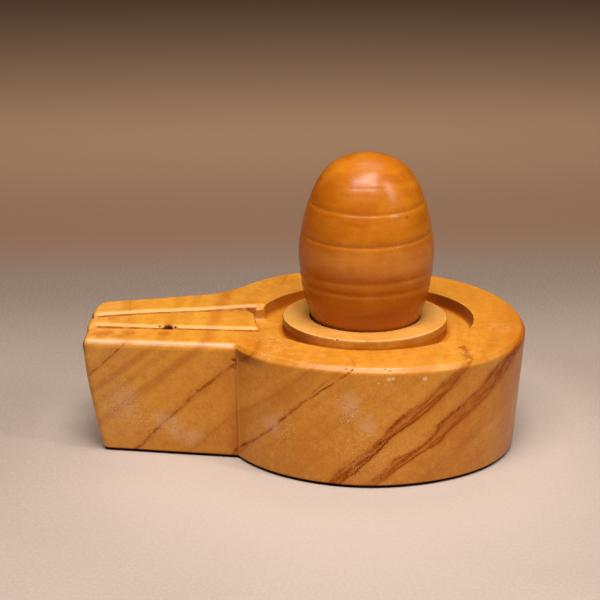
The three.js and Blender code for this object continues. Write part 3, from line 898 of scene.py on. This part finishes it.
def make_lingam_stone():
    s = Shader("amber_stone")
    place = s.warped((7.0, 0.8))
    x, y, z = s.split(place)
    turned = s.combine(s.times(x, 0.12), s.times(y, 0.12), z)
    bands = s.noise(turned, 2.6, 4.0, 0.6)
    clouds = s.noise(s.place, 8.0, 3.0, 0.6)
    colour = s.mix(s.map(bands, 0.35, 0.7), AMBER, DEEP_AMBER)
    colour = s.mix(s.times(s.map(clouds, 0.48, 0.72), 0.6), colour, AMBER_CLOUD)
    # A paler belt halfway up, and painted shade on the side towards the spout.
    belt = s.map(s.math("ABSOLUTE", s.math("SUBTRACT", z, BELT_HEIGHT)), 4.6, 1.0)
    colour = s.mix(s.times(belt, s.map(clouds, 0.35, 0.6, 0.2, 0.45)), colour, AMBER_BELT)
    colour = s.mix(s.map(x, -7, -15, 0.0, 0.5), colour, PAINTED_SIDE_SHADE)
    fleck = s.noise(s.place, 0.5, 2.0, 0.7)
    colour = s.mix(s.times(s.map(fleck, 0.5, 0.75), 0.25), colour, AMBER_FLECK)
    mark = s.spots(LINGAM_MARKS, s.warped((0.8, 0.4)), 0.1)
    colour = s.mix(s.times(mark, 0.6), colour, AMBER_MARK)
    s.put(s.surface.inputs["Base Color"], colour)
    s.put(s.surface.inputs["Roughness"], s.add(0.21, s.times(s.noise(s.place, 3.0, 3.0), 0.14)))
    s.surface.inputs["IOR"].default_value = LINGAM_IOR
    s.surface.inputs["Specular IOR Level"].default_value = LINGAM_SPECULAR
    lines = s.noise(s.combine(s.times(x, 0.02), s.times(y, 0.02), z), 0.35, 2.0)
    normal = s.bump(lines, 0.35, 0.03)
    normal = s.bump(s.noise(s.place, 2.2, 2.0), 0.25, 0.12, normal)
    s.put(s.surface.inputs["Normal"], normal)
    return s.material


base.data.materials.append(make_base_stone())
lingam.data.materials.append(make_lingam_stone())

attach(base, "root")
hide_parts("yoni_base")
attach(lingam, "root")
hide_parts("lingam")


# ---- floor, light and camera ----
def make_floor():
    mesh = bpy.data.meshes.new("floor")
    half, below = 3.0, -0.00005
    mesh.from_pydata([(-half, -half, below), (half, -half, below), (half, half, below), (-half, half, below)],
                     [], [(0, 1, 2, 3)])
    floor = bpy.data.objects.new("floor", mesh)
    bpy.context.scene.collection.objects.link(floor)
    s = Shader("pale_floor")
    pale = s.mix(s.map(s.noise(s.place, 60.0, 3.0), 0.35, 0.65), PALE_FLOOR, DEEP_FLOOR)
    pale = s.mix(s.map(s.y, -90, 10), pale, FRONT_FLOOR)
    # A painted pool of light: the floor is palest round the stone; it is browner far behind it.
    from_stone = s.vector("DISTANCE", s.place, (-8, -10, 0))
    pale = s.mix(s.map(from_stone, 90, 40, 0.0, 0.8), pale, FLOOR_LIGHT_POOL)
    pale = s.mix(s.map(s.y, 45, 125, 0.0, 0.9), pale, FLOOR_BEHIND)
    far_back = s.mix(s.map(s.y, 170, 420), FLOOR_FAR_BEHIND, FLOOR_FARTHEST)
    speckle = s.map(s.noise(s.place, 0.8, 3.0, 0.7), 0.42, 0.62, 0.0, 0.12)
    pale = s.mix(speckle, pale, FLOOR_SPECKLE)
    s.put(s.surface.inputs["Base Color"], s.mix(s.map(s.y, 110, 190), pale, far_back))
    s.surface.inputs["Roughness"].default_value = 0.8
    mesh.materials.append(s.material)


def add_light(name, towards, distance, size, power, colour=(1, 1, 1), aim=(0, 0, 0.03)):
    """A soft box that stands in that direction from the aim point and faces it."""
    light = bpy.data.lights.new(name, "AREA")
    light.shape = "RECTANGLE"
    light.size, light.size_y = size
    light.energy, light.color = power, colour
    lamp = bpy.data.objects.new(name, light)
    way = np.array(towards) / np.linalg.norm(towards)
    lamp.location = np.array(aim) + way * distance
    right = np.cross((0, 0, 1), way)
    right /= np.linalg.norm(right)
    up = np.cross(way, right)
    lamp.rotation_euler = Matrix(np.stack([right, up, way], 1).tolist()).to_euler()
    bpy.context.scene.collection.objects.link(lamp)


def make_world():
    world = bpy.data.worlds.new("studio")
    world.use_nodes = True
    world.node_tree.nodes["Background"].inputs["Color"].default_value = (0.60, 0.40, 0.28, 1)
    world.node_tree.nodes["Background"].inputs["Strength"].default_value = 0.02
    bpy.context.scene.world = world


def make_camera():
    """Looks down on the front from a little to the left."""
    camera = bpy.data.cameras.new("camera")
    camera.sensor_width, camera.lens = 36, 90
    camera.clip_start, camera.clip_end = 0.01, 20
    holder = bpy.data.objects.new("camera", camera)
    # Fitted to the photograph.
    place = (-0.0454896, -0.3321694, 0.1352031)
    right = (0.995957, -0.089784, 0.002742)
    up = (0.024027, 0.295688, 0.954982)
    ahead = (0.086553, 0.951056, -0.296650)
    turn = Matrix(np.stack([right, up, -np.array(ahead)], 1).tolist())
    holder.matrix_world = Matrix.Translation(place) @ turn.to_4x4()
    bpy.context.scene.collection.objects.link(holder)
    bpy.context.scene.camera = holder


# Colours come out as the materials and the lights give them, without a film curve.
bpy.context.scene.view_settings.view_transform = "Standard"
make_floor()
make_world()
add_light("key", towards=(-0.13, -0.45, 0.885), distance=0.6, size=(0.46, 0.15), power=3.8)
add_light("high", towards=(0.04, -0.2, 0.98), distance=0.6, size=(0.25, 0.14), power=1.9)
add_light("overhead", towards=(0.1, 0.35, 0.93), distance=0.6, size=(0.3, 0.25), power=0.63)
add_light("left", towards=(-0.45, -0.35, 0.82), distance=0.6, size=(0.15, 0.2), power=0.18)
add_light("right", towards=(0.57, -0.44, 0.66), distance=0.6, size=(0.05, 0.24), power=0.95)
make_camera()
